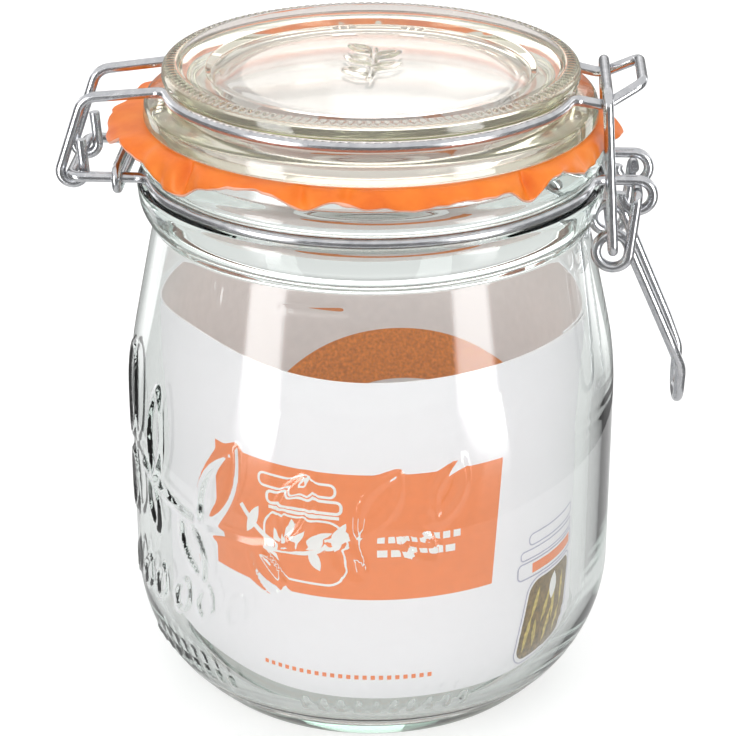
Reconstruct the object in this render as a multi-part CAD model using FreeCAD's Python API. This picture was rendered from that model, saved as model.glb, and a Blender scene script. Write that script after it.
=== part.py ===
"""Clip-top preserving jar, 0.75 litre class, in millimetres.

Origin on the jar's axis at the base plane, +Z up.  The hinge of the wire
bail lies at -X and the toggle clip at +X, with the whole symmetric about Y=0.
Pieces: glass jar, glass lid, rubber seal, belt wire round the neck, tie ring
on its two hinge bars, lid wire, toggle link, toggle lever and a rolled card
leaflet that stands inside.
"""
import FreeCAD, Part
import math
import os

from FreeCAD import Vector

os.makedirs("parts", exist_ok=True)

# ---------------------------------------------------------------- jar glass
body_radius = 55.6          # barrel, outside
wall = 3.7                  # barrel wall
jar_height = 132.75         # sealing face above the base plane
heel_radius = 35.0          # large rounding from the barrel to the foot
heel_slope = 45.6           # degrees from vertical where the heel meets the foot
heel_corner_height = 14.4   # where the barrel line meets the heel line
foot_round = 4.0
foot_width = 2.6            # flat ring that the jar stands on
foot_inner_round = 1.2
punt_depth = 2.4            # hollow under the base
punt_slope = 5.3            # run of the punt's edge, inside the foot
punt_round = 6.0
floor_thickness = 4.2       # glass above the punt
floor_crown = 0.4           # floor's centre above and edge below its level
floor_round = 9.0
shoulder_drop = 53.75       # shoulder cone's foot below the sealing face
shoulder_round = 80.0
waist_drop = 21.35          # narrowest place, under the lower neck bead
waist_inset = 0.1           # waist inside the neck wall's face
waist_round = 1.0
mouth_radius = 42.5
mouth_shoulder_round = 18.0  # inside, where the shoulder meets the mouth
neck_wall = 5.9             # width of the sealing face
finish_height = 3.4         # neck wall above the upper bead
finish_edge_round = 0.9
bead_depth = 2.9            # upper neck bead outside the neck wall
bead_round = 1.6
bead_batter = 0.6           # slope of the beads' faces
bead_face = 1.8             # from the upper bead's lower edge to its full reach
lower_bead_depth = 3.4      # lower neck bead outside the neck wall
lower_bead_run = 3.0        # lower bead's swelling underside
lower_bead_foot = 3.9
lower_bead_foot_round = 10.0
lower_bead_edge_round = 1.0
groove_play = 0.75          # belt groove wider than the belt wire, each side
groove_slope = 0.5
groove_round = 0.9
groove_edge_round = 0.7

# ---------------------------------------------------------------- wires
belt_diameter = 2.3
lid_wire_diameter = 2.3
link_diameter = 2.3
lever_diameter = 2.4
tie_diameter = 2.0
running_gap = 0.35          # between wires that turn on each other
seat_gap = 0.15             # between a wire and the groove that it lies in

belt_drop = 9.65            # belt wire below the sealing face
hinge_stand = 15.3          # hinge axis outside the belt ring
hinge_bar_offset = 13.0     # hinge bars from the plane of symmetry
hinge_corner = 2.2          # bend at the end of a hinge bar
ring_exit_bend = 4.0        # where a wire leaves its ring
tie_stand = 4.8             # tie ring outside the belt ring

eye_stand = 8.7             # eyes at the clip side, outside the belt ring
eye_radius = 3.5
eye_offset = 9.0
eye_turn = 280.0            # degrees of wire in one eye

# ---------------------------------------------------------------- lid
seal_thickness = 2.0
seal_inner_play = 0.5       # seal's bore outside the lid's lip
seal_gap = 0.25             # running gap between the seal and the sealing face
lid_skirt_reach = 1.6       # skirt outside the neck wall
lid_skirt_height = 4.2
lid_skirt_batter = 0.5
lid_skirt_round = 1.6
lid_height = 11.9           # from the lid's flange face to its rim
lid_rim_reach = 3.1         # rim outside the mouth
lid_rim_round = 1.9
lid_rim_width = 3.4
lid_edge_round = 0.8        # the lid's other edges
lid_lip_play = 0.9          # locating lip inside the mouth
lid_lip_depth = 1.2
lid_lip_width = 1.8
lid_lip_corner = 0.4        # the lid's small inside corners
lid_groove_height = 7.2     # lid wire above the flange face
lid_groove_inset = 0.3      # lid wire's ring inside the rim
lid_groove_below = 0.35     # groove's lower and upper edges from the wire
lid_groove_above = 0.2
lid_groove_flare = 0.5
lid_groove_round = 1.1
lid_dome_round = 11.0       # inside, from the centre disc down to the lip
lid_hollow_round = 3.0      # inside, above the lip
lid_plate = 3.3             # thickness of the centre disc
lid_centre_inset = 12.6     # centre disc's edge inside the rim
lid_centre_drop = 2.3       # centre disc below the rim
lid_centre_slope = 1.8      # width of the step down to the centre disc
lid_ring_inset = 9.6        # inner edge of the sloping ring inside the rim
lid_step_fall = 1.1         # step inside the rim
lid_ring_fall = 0.5         # fall of the sloping ring towards the centre

lid_arm_offset = 10.2       # lid wire where it bends down to the hinge
lid_arm_bend = 4.5
lid_curl_offset = 9.5       # curls that hook round the crossbar
lid_bend_lean = 3.1         # rear bend stands in from the hinge axis
lid_bend_drop = 2.1         # and below the lid wire's ring
curl_tail = 7.3             # cut end above the hinge axis
curl_tail_lean = 0.5        # cut end leans in over the curl
lid_exit_bend = 3.4         # where the lid wire leaves its ring
rear_exit_offset = 11.6
nose_exit_offset = 12.0
valley_stand = 5.3          # valley that holds the link, outside the ring
valley_drop = 1.45
valley_offset = 11.6
valley_rise = 0.3           # the valley's bend lifts the wire above its corner
valley_bend = 5.0
nose_stand = 13.3           # nose outside the ring
nose_rise = 2.9
nose_offset = 8.8
nose_bend = 2.6

# ---------------------------------------------------------------- toggle
coil_clearance = 0.18       # between the coils and the shoulder's line
coil_drop = 16.0            # coils below the belt wire
coil_radius = 3.6
handle_knee_stand = 11.94   # knee outside the barrel
handle_knee_drop = 38.8     # knee below the belt wire
handle_knee_offset = 8.0
handle_knee_bend = 14.0
handle_end_run = 2.76       # end of the handle out from the knee
handle_end_length = 15.8    # and below it
handle_end_offset = 5.5
handle_tip_straight = 9.0   # last run of each handle leg
handle_tip_taper = 0.8      # legs draw in over that run
handle_tip_lean = 0.3
handle_tip_bend = 8.0
handle_end_bend = 4.8
pin_end_offset = 6.4        # cut ends of the pivot pins
pin_bend = 2.0
link_foot_bend = 2.0
link_top_bend = 3.2
link_top_stand = 0.4        # link's top bar outside the valley's corner

# ---------------------------------------------------------------- leaflet
card_thickness = 0.4
card_play = 0.39            # card's top edge inside the shoulder
card_top_drop = 41.4        # card's top edge below the sealing face
card_overlap = 12.0         # degrees of double card at the seam
card_seam = -25.0           # degrees, 0 at +X and -90 at the front

# ---------------------------------------------------------------- seal edge
# The free edge hangs in uneven waves, alike on both sides of the jar:
# (degrees from the clip, droop of the edge, reach outside the lid's skirt)
seal_waves = [
    (0, 4.2, 5.0), (15, 4.2, 1.9), (26, 5.0, 2.6), (36, 3.2, 3.0),
    (39.5, 1.4, 3.4), (48, 5.9, 3.0), (52, 5.8, 3.2), (55.5, 2.4, 3.6),
    (66, 3.0, 3.4), (78, 3.8, 3.2), (89, 3.4, 3.2), (94.5, 1.9, 3.4),
    (101.5, 4.7, 3.2), (104.5, 3.6, 3.4), (110, 0.9, 3.8), (118, 1.3, 3.6),
    (127, 3.4, 3.2), (134, 6.0, 3.0), (143, 5.4, 3.6), (149, 3.2, 4.4),
    (155, 2.4, 5.2), (161, 1.0, 6.5), (168, 4.0, 7.8), (176, 1.8, 7.6),
    (180, 1.6, 7.5),
]
seal_sections = 120
seal_bend_reach = 0.4       # where the free edge starts to droop, outside the skirt
seal_edge_half = 0.6        # half of the free edge's thickness


# ================================================================ helpers
def radial(radius, degrees, height):
    angle = math.radians(degrees)
    return Vector(radius * math.cos(angle), radius * math.sin(angle), height)


def unit(vector):
    return vector.multiply(1.0 / vector.Length)


def bent_path(corners, closed=False):
    """Straight runs joined by tangent arcs.

    corners holds (point, bend radius): 0 is a sharp corner, and None is as
    large as half of the shorter run beside that corner allows.
    """
    count = len(corners)
    if closed:
        turning = range(count)
    else:
        turning = range(1, count - 1)
    starts = {}
    arcs = {}
    for i in turning:
        here, bend = corners[i]
        before = corners[i - 1][0]
        after = corners[(i + 1) % count][0]
        inward = unit(before - here)
        onward = unit(after - here)
        turn = math.pi - inward.getAngle(onward)
        if turn < 1e-6 or bend == 0:
            continue
        if bend is None:
            cut = min((before - here).Length, (after - here).Length) / 2.0
            bend = cut / math.tan(turn / 2.0)
        else:
            cut = bend * math.tan(turn / 2.0)
        entry = here + inward * cut
        leave = here + onward * cut
        middle_way = unit(inward + onward)
        middle = here + middle_way * (bend / math.cos(turn / 2.0) - bend)
        arcs[i] = (entry, middle, leave)
    for i in range(count):
        starts[i] = arcs[i] if i in arcs else (corners[i][0], None, corners[i][0])
    edges = []
    for i in range(count):
        entry, middle, leave = starts[i]
        if middle is not None:
            edges.append(Part.Arc(entry, middle, leave).toShape())
        if i == count - 1 and not closed:
            break
        target = starts[(i + 1) % count][0]
        if (target - leave).Length > 1e-5:
            edges.append(Part.makeLine(leave, target))
    return edges


def bent_wire(corners, diameter, closed=False):
    """Round wire bent along a path of runs and arcs, as one solid."""
    edges = bent_path(corners, closed)
    path = Part.Wire(edges)
    start = edges[0].valueAt(edges[0].FirstParameter)
    heading = edges[0].tangentAt(edges[0].FirstParameter)
    section = Part.Wire([Part.makeCircle(diameter / 2.0, start, heading)])
    solid = path.makePipeShell([section], True, False)
    length = sum(edge.Length for edge in edges)
    expected = math.pi * diameter ** 2 / 4.0 * length
    print("  wire length %.1f, volume %.1f, expected %.1f, valid %s"
          % (length, solid.Volume, expected, solid.isValid()))
    return solid


def ring_corners(radius, height, start, end, pieces):
    """Corners whose bends make a true arc of the ring from start to end degrees."""
    step = (end - start) / pieces
    reach = radius / math.cos(math.radians(step / 2.0))
    return [(radial(reach, start + step * (i + 0.5), height), None)
            for i in range(pieces)]


def ring_exit(ring_radius, offset, bend):
    """Angle where a wire leaves its ring, and the reach of the exit's corner."""
    angle = math.asin((offset + bend) / (ring_radius + bend))
    run = (ring_radius * math.sin(angle) - offset) / math.cos(angle)
    reach = ring_radius * math.cos(angle) + run * math.sin(angle)
    return math.degrees(angle), reach


def turned(corners):
    """Solid of revolution about Z from closed (radius, height, rounding) corners."""
    points = [(Vector(r, 0, z), rounding) for r, z, rounding in corners]
    edges = bent_path(points, closed=True)
    face = Part.Face(Part.Wire(edges))
    return face.revolve(Vector(0, 0, 0), Vector(0, 0, 1), 360)


def tangent_angle(centre, radius, point, side):
    """Angle on a circle in the XZ plane whose tangent passes through a point."""
    dx = point[0] - centre[0]
    dz = point[1] - centre[1]
    away = math.degrees(math.atan2(dz, dx))
    return away + side * math.degrees(math.acos(radius / math.hypot(dx, dz)))


def loop_corners(centre, radius, start, end, y_start, y_end, pieces):
    """Corners of a loop in the XZ plane that steps sideways from y_start to y_end."""
    step = (end - start) / pieces
    reach = radius / math.cos(math.radians(step / 2.0))
    corners = []
    for i in range(pieces):
        angle = math.radians(start + step * (i + 0.5))
        y = y_start + (y_end - y_start) * (i + 0.5) / pieces
        point = Vector(centre[0] + reach * math.cos(angle), y,
                       centre[1] + reach * math.sin(angle))
        corners.append((point, None))
    return corners


def mirrored(corners):
    """The same corners on the other side of the plane of symmetry, in reverse order."""
    return [(Vector(p.x, -p.y, p.z), bend) for p, bend in reversed(corners)]


def save(shape, node):
    solids = shape.Solids
    print(node, "solids", len(solids), "valid", shape.isValid(),
          "volume %.1f" % shape.Volume)
    shape.exportStep("parts/%s.step" % node)


# ================================================================ jar
finish_radius = mouth_radius + neck_wall
bead_radius = finish_radius + bead_depth
waist_radius = finish_radius - waist_inset
lower_bead_radius = finish_radius + lower_bead_depth
waist_height = jar_height - waist_drop
shoulder_height = jar_height - shoulder_drop
belt_height = jar_height - belt_drop
belt_groove_radius = finish_radius
belt_ring_radius = belt_groove_radius + belt_diameter / 2.0 + seat_gap
groove_half = belt_diameter / 2.0 + groove_play

heel_lean = math.radians(heel_slope)
shoulder_lean = math.atan2(body_radius - waist_radius, waist_height - shoulder_height)


def heel_line(radius, inset=0.0):
    """Height of the heel's straight line at a radius, set in by a wall."""
    outer = heel_corner_height - (body_radius - radius) / math.tan(heel_lean)
    return outer + inset / math.sin(heel_lean)


inner_radius = body_radius - wall
floor_height = punt_depth + floor_thickness
foot_corner = body_radius - heel_corner_height * math.tan(heel_lean)
inner_heel_foot = body_radius - (heel_corner_height + wall / math.sin(heel_lean)
                                 - floor_height) * math.tan(heel_lean)
inner_neck_height = shoulder_height + ((body_radius - wall / math.cos(shoulder_lean)
                                        - mouth_radius) / math.tan(shoulder_lean))
inner_shoulder_height = shoulder_height - wall * math.tan(shoulder_lean / 2.0)
upper_bead_top = jar_height - finish_height
upper_bead_bottom = belt_height + groove_half
lower_bead_top = belt_height - groove_half

jar_corners = [
    (0, punt_depth, 0),
    (foot_corner - foot_width - foot_inner_round - punt_slope, punt_depth, punt_round),
    (foot_corner - foot_width - foot_inner_round, 0, foot_inner_round),
    (foot_corner, 0, foot_round),
    (body_radius, heel_corner_height, heel_radius),
    (body_radius, shoulder_height, shoulder_round),
    (waist_radius, waist_height, waist_round),
    (waist_radius + lower_bead_run, waist_height + lower_bead_foot,
     lower_bead_foot_round),
    (lower_bead_radius, lower_bead_top - bead_batter, lower_bead_edge_round),
    (lower_bead_radius - bead_batter, lower_bead_top + groove_slope / 2.0,
     groove_edge_round),
    (belt_groove_radius, lower_bead_top + groove_slope, groove_round),
    (belt_groove_radius, upper_bead_bottom - groove_slope, groove_round),
    (bead_radius - bead_batter, upper_bead_bottom, groove_edge_round),
    (bead_radius, upper_bead_bottom + bead_face, bead_round),
    (bead_radius - bead_batter, upper_bead_top - 2.0 * bead_batter, bead_round),
    (finish_radius, upper_bead_top, bead_batter),
    (finish_radius, jar_height, finish_edge_round),
    (mouth_radius, jar_height, finish_edge_round),
    (mouth_radius, inner_neck_height, mouth_shoulder_round),
    (inner_radius, inner_shoulder_height, shoulder_round - wall),
    (inner_radius, heel_line(inner_radius, wall), heel_radius - wall),
    (inner_heel_foot, floor_height - floor_crown, floor_round),
    (0, floor_height + floor_crown, 0),
]
save(turned(jar_corners), "jar_body")

# ================================================================ lid
flange_height = jar_height + seal_gap + seal_thickness
rim_height = flange_height + lid_height
wire_level = flange_height + lid_groove_height
lid_rim_radius = mouth_radius + lid_rim_reach
lid_lip_radius = mouth_radius - lid_lip_play
lid_skirt_radius = finish_radius + lid_skirt_reach
lid_centre_radius = lid_rim_radius - lid_centre_inset
lid_ring_radius = lid_rim_radius - lid_groove_inset
lid_groove_radius = lid_ring_radius - lid_wire_diameter / 2.0 - seat_gap
centre_height = rim_height - lid_centre_drop
lip_bottom = flange_height - seal_thickness - lid_lip_depth

lid_lip_inner = lid_lip_radius - lid_lip_width
lid_rim_inner = lid_rim_radius - lid_rim_width
step_height = rim_height - lid_step_fall
groove_bottom = wire_level - lid_wire_diameter / 2.0 - lid_groove_below
groove_top = wire_level + lid_wire_diameter / 2.0 + lid_groove_above

lid_corners = [
    (0, centre_height - lid_plate, 0),
    (lid_centre_radius + lid_centre_slope, centre_height - lid_plate, lid_dome_round),
    (lid_lip_inner - lid_groove_flare, flange_height + lid_ring_fall, lid_hollow_round),
    (lid_lip_inner, lip_bottom, lid_edge_round),
    (lid_lip_radius, lip_bottom, lid_edge_round),
    (lid_lip_radius, flange_height, lid_lip_corner),
    (lid_skirt_radius, flange_height, lid_edge_round),
    (lid_skirt_radius - lid_skirt_batter, flange_height + lid_skirt_height,
     lid_skirt_round),
    (lid_groove_radius + lid_groove_flare, groove_bottom, lid_groove_round),
    (lid_groove_radius, wire_level, lid_groove_round),
    (lid_groove_radius + lid_groove_flare, groove_top, lid_lip_corner),
    (lid_rim_radius, groove_top + lid_groove_flare, lid_lip_corner),
    (lid_rim_radius, rim_height, lid_rim_round),
    (lid_rim_inner, rim_height, lid_edge_round),
    (lid_rim_inner - lid_step_fall, step_height, lid_edge_round),
    (lid_rim_radius - lid_ring_inset, step_height - lid_ring_fall, lid_edge_round),
    (lid_centre_radius + lid_centre_slope, centre_height - lid_ring_fall,
     lid_lip_corner),
    (lid_centre_radius, centre_height, lid_edge_round),
    (0, centre_height, 0),
]
save(turned(lid_corners), "lid_glass")


# ================================================================ seal
seal_inner_radius = lid_lip_radius + seal_inner_play
seal_bend_radius = lid_skirt_radius + seal_bend_reach


def seal_edge_at(degrees):
    """Droop and reach of the seal's free edge, eased from wave to wave."""
    side = abs(degrees)
    for (a0, d0, r0), (a1, d1, r1) in zip(seal_waves, seal_waves[1:]):
        if a0 <= side <= a1:
            ease = (1 - math.cos(math.pi * (side - a0) / (a1 - a0))) / 2.0
            reach = lid_skirt_radius + r0 + (r1 - r0) * ease
            return d0 + (d1 - d0) * ease, reach
    raise ValueError(degrees)


def seal_section(degrees):
    droop, reach = seal_edge_at(degrees)
    top = flange_height
    bottom = top - seal_thickness
    outline = [
        (seal_inner_radius, bottom), (seal_inner_radius, top),
        (seal_bend_radius, top), (reach, top - droop + seal_edge_half),
        (reach - seal_edge_half, top - droop - seal_edge_half),
        (seal_bend_radius - seal_edge_half, bottom),
    ]
    points = [radial(r, degrees, z) for r, z in outline]
    return Part.makePolygon(points + [points[0]])


sections = [seal_section(-180 + 360.0 * i / seal_sections)
            for i in range(seal_sections)]
save(Part.makeLoft(sections, True, False, True), "seal_ring")

# ================================================================ belt wire
hinge_angle, hinge_exit = ring_exit(belt_ring_radius, hinge_bar_offset, ring_exit_bend)
eye_angle, eye_exit = ring_exit(belt_ring_radius, eye_offset, ring_exit_bend)
eye_centre = (belt_ring_radius + eye_stand, belt_height - eye_radius)
hinge_reach = belt_ring_radius + hinge_stand

eye_loop = loop_corners(eye_centre, eye_radius, 90 - eye_turn, 90,
                        -eye_offset, -eye_offset, 7)
eye_end_angle = math.radians(90 - eye_turn)
eye_tail = Vector(eye_centre[0] + eye_radius * math.cos(eye_end_angle), -eye_offset,
                  eye_centre[1] + eye_radius * math.sin(eye_end_angle))
half_belt = [(eye_tail, None)] + eye_loop
half_belt += [(Vector(eye_exit, -eye_offset, belt_height), ring_exit_bend)]
half_belt += ring_corners(belt_ring_radius, belt_height,
                          -eye_angle, -180 + hinge_angle, 6)
half_belt += [(Vector(-hinge_exit, -hinge_bar_offset, belt_height), ring_exit_bend),
              (Vector(-hinge_reach, -hinge_bar_offset, belt_height), hinge_corner)]
save(bent_wire(half_belt + mirrored(half_belt), belt_diameter), "belt_wire")

# ================================================================ tie ring
tie_half = belt_diameter / 2.0 + tie_diameter / 2.0 + running_gap
tie_side = hinge_bar_offset + tie_half
tie_reach = belt_ring_radius + tie_stand
tie_corners = [(Vector(-tie_reach, y * tie_side, belt_height + z * tie_half), tie_half)
               for y, z in ((-1, -1), (1, -1), (1, 1), (-1, 1))]
save(bent_wire(tie_corners, tie_diameter, closed=True), "tie_ring")

# ================================================================ lid wire
hinge = (-hinge_reach, belt_height)
curl_radius = (belt_diameter + lid_wire_diameter) / 2.0 + running_gap
tail = (-hinge_reach + curl_radius - curl_tail_lean, belt_height + curl_tail)
bend = (-hinge_reach + lid_bend_lean, wire_level - lid_bend_drop)
valley = (lid_ring_radius + valley_stand, wire_level - valley_drop)
nose = (lid_ring_radius + nose_stand, wire_level + nose_rise)
curl_start = tangent_angle(hinge, curl_radius, tail, -1)
curl_end = tangent_angle(hinge, curl_radius, bend, 1) - 360
rear_angle, rear_exit = ring_exit(lid_ring_radius, rear_exit_offset, ring_exit_bend)
nose_angle, nose_exit = ring_exit(lid_ring_radius, nose_exit_offset, ring_exit_bend)

half_lid_wire = [(Vector(tail[0], -lid_curl_offset, tail[1]), None)]
half_lid_wire += loop_corners(hinge, curl_radius, curl_start, curl_end,
                              -lid_curl_offset, -lid_curl_offset, 4)
half_lid_wire += [
    (Vector(bend[0], -lid_arm_offset, bend[1]), lid_arm_bend),
    (Vector(-rear_exit, -rear_exit_offset, wire_level), lid_exit_bend)]
half_lid_wire += ring_corners(lid_ring_radius, wire_level,
                              -180 + rear_angle, -nose_angle, 6)
half_lid_wire += [
    (Vector(nose_exit, -nose_exit_offset, wire_level), lid_exit_bend),
    (Vector(valley[0], -valley_offset, valley[1]), valley_bend),
    (Vector(nose[0], -nose_offset, nose[1]), nose_bend)]
save(bent_wire(half_lid_wire + mirrored(half_lid_wire), lid_wire_diameter), "lid_wire")

# ================================================================ lever
pivot = (eye_centre[0],
         eye_centre[1] + eye_radius - belt_diameter / 2.0
         - lever_diameter / 2.0 - running_gap)
arm_offset = eye_offset + (belt_diameter + lever_diameter) / 2.0 + running_gap
leg_offset = arm_offset - lever_diameter - seat_gap
coil_height = belt_height - coil_drop
shoulder_reach = (math.sqrt(waist_radius ** 2 - leg_offset ** 2)
                  + (waist_height - coil_height) * math.tan(shoulder_lean))
coil_stand = (coil_clearance + lever_diameter / 2.0 + coil_radius) / math.cos(shoulder_lean)
coil_centre = (shoulder_reach + coil_stand, coil_height)
knee = (body_radius + handle_knee_stand, belt_height - handle_knee_drop)
handle_end = (knee[0] + handle_end_run, knee[1] - handle_end_length)
coil_start = tangent_angle(coil_centre, coil_radius, pivot, -1)
coil_end = tangent_angle(coil_centre, coil_radius, knee, 1) - 360

half_lever = [
    (Vector(pivot[0], -pin_end_offset, pivot[1]), None),
    (Vector(pivot[0], -arm_offset, pivot[1]), pin_bend)]
half_lever += loop_corners(coil_centre, coil_radius, coil_start, coil_end,
                           -arm_offset, -leg_offset, 8)
half_lever += [
    (Vector(knee[0], -handle_knee_offset, knee[1]), handle_knee_bend),
    (Vector(handle_end[0], -handle_end_offset - handle_tip_taper,
            handle_end[1] + handle_tip_straight), handle_tip_bend),
    (Vector(handle_end[0] - handle_tip_lean, -handle_end_offset, handle_end[1]),
     handle_end_bend)]
save(bent_wire(half_lever + mirrored(half_lever), lever_diameter), "lever")

# ================================================================ link
link_offset = arm_offset + (lever_diameter + link_diameter) / 2.0 + running_gap
link_top_reach = valley[0] + link_top_stand
link_top_height = (valley[1] + valley_rise + running_gap
                   + (lid_wire_diameter + link_diameter) / 2.0)
link_bar_height = (coil_centre[1] + coil_radius - lever_diameter / 2.0
                   - link_diameter / 2.0 - running_gap)
link_corners = [
    (Vector(coil_centre[0], -link_offset, link_bar_height), link_foot_bend),
    (Vector(coil_centre[0], link_offset, link_bar_height), link_foot_bend),
    (Vector(link_top_reach, link_offset, link_top_height), link_top_bend),
    (Vector(link_top_reach, -link_offset, link_top_height), link_top_bend)]
save(bent_wire(link_corners, link_diameter, closed=True), "link")

# ================================================================ leaflet
heel_centre_height = heel_line(inner_radius, wall) + (
    (heel_radius - wall) * math.tan(heel_lean / 2.0))
heel_centre_radius = inner_radius - (heel_radius - wall)


def shoulder_inside(height):
    """Inner radius of the jar's shoulder at a height."""
    bend = shoulder_round - wall
    cut = bend * math.tan(shoulder_lean / 2.0)
    above = height - (inner_shoulder_height - cut)
    if height < inner_shoulder_height + cut * math.cos(shoulder_lean):
        return inner_radius - bend + math.sqrt(bend ** 2 - max(above, 0.0) ** 2)
    return inner_radius - (height - inner_shoulder_height) * math.tan(shoulder_lean)


card_top = jar_height - card_top_drop
card_radius = shoulder_inside(card_top) - card_play
card_foot = heel_centre_height - math.sqrt(
    (heel_radius - wall) ** 2 - (card_radius - heel_centre_radius) ** 2) + seat_gap
card_height = card_top - card_foot


def card_arc(outer, start, end):
    """Part of a card tube between two angles, one card thick."""
    sector = Part.makeCylinder(outer, card_height, Vector(0, 0, card_foot),
                               Vector(0, 0, 1), end - start)
    core = Part.makeCylinder(outer - card_thickness, card_height,
                             Vector(0, 0, card_foot))
    sector.rotate(Vector(0, 0, 0), Vector(0, 0, 1), start)
    return sector.cut(core)


tube = card_arc(card_radius, 0, 360)
lap = card_arc(card_radius - card_thickness, card_seam, card_seam + card_overlap)
save(tube.fuse(lap).removeSplitter(), "leaflet")

print("jar top %.2f, flange %.2f, rim %.2f, wire level %.2f"
      % (jar_height, flange_height, rim_height, wire_level))
print("hinge (%.2f, %.2f), pivot (%.2f, %.2f)" % (hinge + pivot))
print("link bar (%.2f, %.2f), link top (%.2f, %.2f)"
      % (coil_centre[0], link_bar_height, link_top_reach, link_top_height))
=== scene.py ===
"""Looks of the clip-top jar, in metres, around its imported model.

The jar stands on its base plane with its axis on Z, the hinge at -X, the
clip at +X and the front at -Y.  Angles round the axis are in degrees, with
0 at the clip and -90 at the front.
"""
import math

import bpy
import numpy as np
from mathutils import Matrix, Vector


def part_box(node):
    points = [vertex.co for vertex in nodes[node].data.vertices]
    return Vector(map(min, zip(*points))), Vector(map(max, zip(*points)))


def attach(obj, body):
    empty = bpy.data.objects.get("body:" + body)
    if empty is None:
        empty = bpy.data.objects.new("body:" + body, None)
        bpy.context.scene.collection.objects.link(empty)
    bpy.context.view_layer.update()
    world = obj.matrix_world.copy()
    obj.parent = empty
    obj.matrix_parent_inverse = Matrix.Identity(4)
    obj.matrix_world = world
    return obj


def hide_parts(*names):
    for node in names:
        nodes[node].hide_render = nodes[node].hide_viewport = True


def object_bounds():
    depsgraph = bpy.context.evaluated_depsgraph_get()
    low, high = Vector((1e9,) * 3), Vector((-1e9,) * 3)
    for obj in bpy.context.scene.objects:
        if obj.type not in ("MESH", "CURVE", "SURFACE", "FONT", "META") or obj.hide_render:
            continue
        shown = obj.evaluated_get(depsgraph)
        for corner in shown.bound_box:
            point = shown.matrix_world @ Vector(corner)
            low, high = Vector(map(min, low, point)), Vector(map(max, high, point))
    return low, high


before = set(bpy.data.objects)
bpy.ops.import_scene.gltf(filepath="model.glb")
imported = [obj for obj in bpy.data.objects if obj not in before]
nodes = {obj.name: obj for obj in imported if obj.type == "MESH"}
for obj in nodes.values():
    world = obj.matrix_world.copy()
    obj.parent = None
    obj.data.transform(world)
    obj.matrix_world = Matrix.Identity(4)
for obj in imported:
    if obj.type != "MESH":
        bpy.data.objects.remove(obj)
cad_low, cad_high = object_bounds()
card_low, card_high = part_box("leaflet")
scene = bpy.context.scene

MM = 0.001
HIGH = {node: np.array(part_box(node)[1]) for node in ("jar_body", "lid_glass", "seal_ring")}
GIRTH = HIGH["jar_body"][0]
RIM_TOP = HIGH["lid_glass"][2]


# ================================================================ camera
def place_camera():
    """Camera at the photo's angle, with the whole jar in its frame."""
    azimuth = math.radians(3.0)
    elevation = math.radians(24.5)
    distance = 0.560
    aim_share = 0.49
    aim = np.array([0.0, 0.0, aim_share * (cad_low[2] + cad_high[2])])
    way = np.array([math.sin(azimuth) * math.cos(elevation),
                    -math.cos(azimuth) * math.cos(elevation),
                    math.sin(elevation)])
    data = bpy.data.cameras.new("camera")
    data.lens = 119.0
    data.sensor_width = 36.0
    data.shift_x = -0.0041
    data.shift_y = 0.0048
    data.clip_start = 0.01
    camera = bpy.data.objects.new("camera", data)
    camera.location = aim + distance * way
    camera.rotation_euler = (math.pi / 2.0 - elevation, 0.0, azimuth)
    scene.collection.objects.link(camera)
    scene.camera = camera


place_camera()


# ================================================================ node helpers
class Nodes:
    """Node tree of a material or the world, with short ways to add and join nodes."""

    def __init__(self, owner, output="OutputMaterial"):
        owner.use_nodes = True
        self.owner = owner
        self.tree = owner.node_tree
        self.tree.nodes.clear()
        self.output = self.add(output)

    def add(self, kind, inputs=None, **settings):
        """New node; an input is a value, or a socket to link from."""
        node = self.tree.nodes.new("ShaderNode" + kind)
        for key, value in settings.items():
            setattr(node, key, value)
        for key, value in (inputs or {}).items():
            socket = node.inputs[key]
            if isinstance(value, bpy.types.NodeSocket):
                self.tree.links.new(value, socket)
            else:
                socket.default_value = value
        return node

    def math(self, operation, a, b=0.0):
        return self.add("Math", {0: a, 1: b}, operation=operation).outputs[0]

    def ramp(self, value, stops):
        """Colour from a value through (place, colour) stops."""
        node = self.add("ValToRGB", {"Fac": value})
        elements = node.color_ramp.elements
        while len(elements) < len(stops):
            elements.new(0.5)
        for element, (place, colour) in zip(elements, stops):
            element.position = place
            element.color = colour
        return node.outputs["Color"]

    def noise(self, scale, detail=2.0, stretch=(1.0, 1.0, 1.0), roughness=0.5):
        """Noise fixed to the object, from 0 to 1."""
        where = self.add("TexCoord").outputs["Object"]
        mapping = self.add("Mapping", {"Vector": where, "Scale": stretch})
        inputs = {"Vector": mapping.outputs[0], "Scale": scale, "Detail": detail,
                  "Roughness": roughness}
        return self.add("TexNoise", inputs).outputs["Fac"]

    def bump(self, height, strength, distance):
        inputs = {"Height": height, "Strength": strength, "Distance": distance}
        return self.add("Bump", inputs).outputs["Normal"]

    def finish(self, shader, volume=None):
        """Joins the shaders to the output and gives back the tree's owner."""
        self.tree.links.new(shader, self.output.inputs["Surface"])
        if volume is not None:
            self.tree.links.new(volume, self.output.inputs["Volume"])
        return self.owner


def material_nodes(name):
    return Nodes(bpy.data.materials.new(name))


def grey(level):
    return (level, level, level, 1.0)


# ================================================================ materials
TINT_DENSITY = 28.0
WAVE_DEPTH = 0.6 * MM
VEIL_ROUGHNESS = 0.05
# share of the glass that shows the haze colour; its pink is a painted reflection of the orange
# seal's light
HAZE_AND_GLOW_SHARE = 0.055


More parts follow.
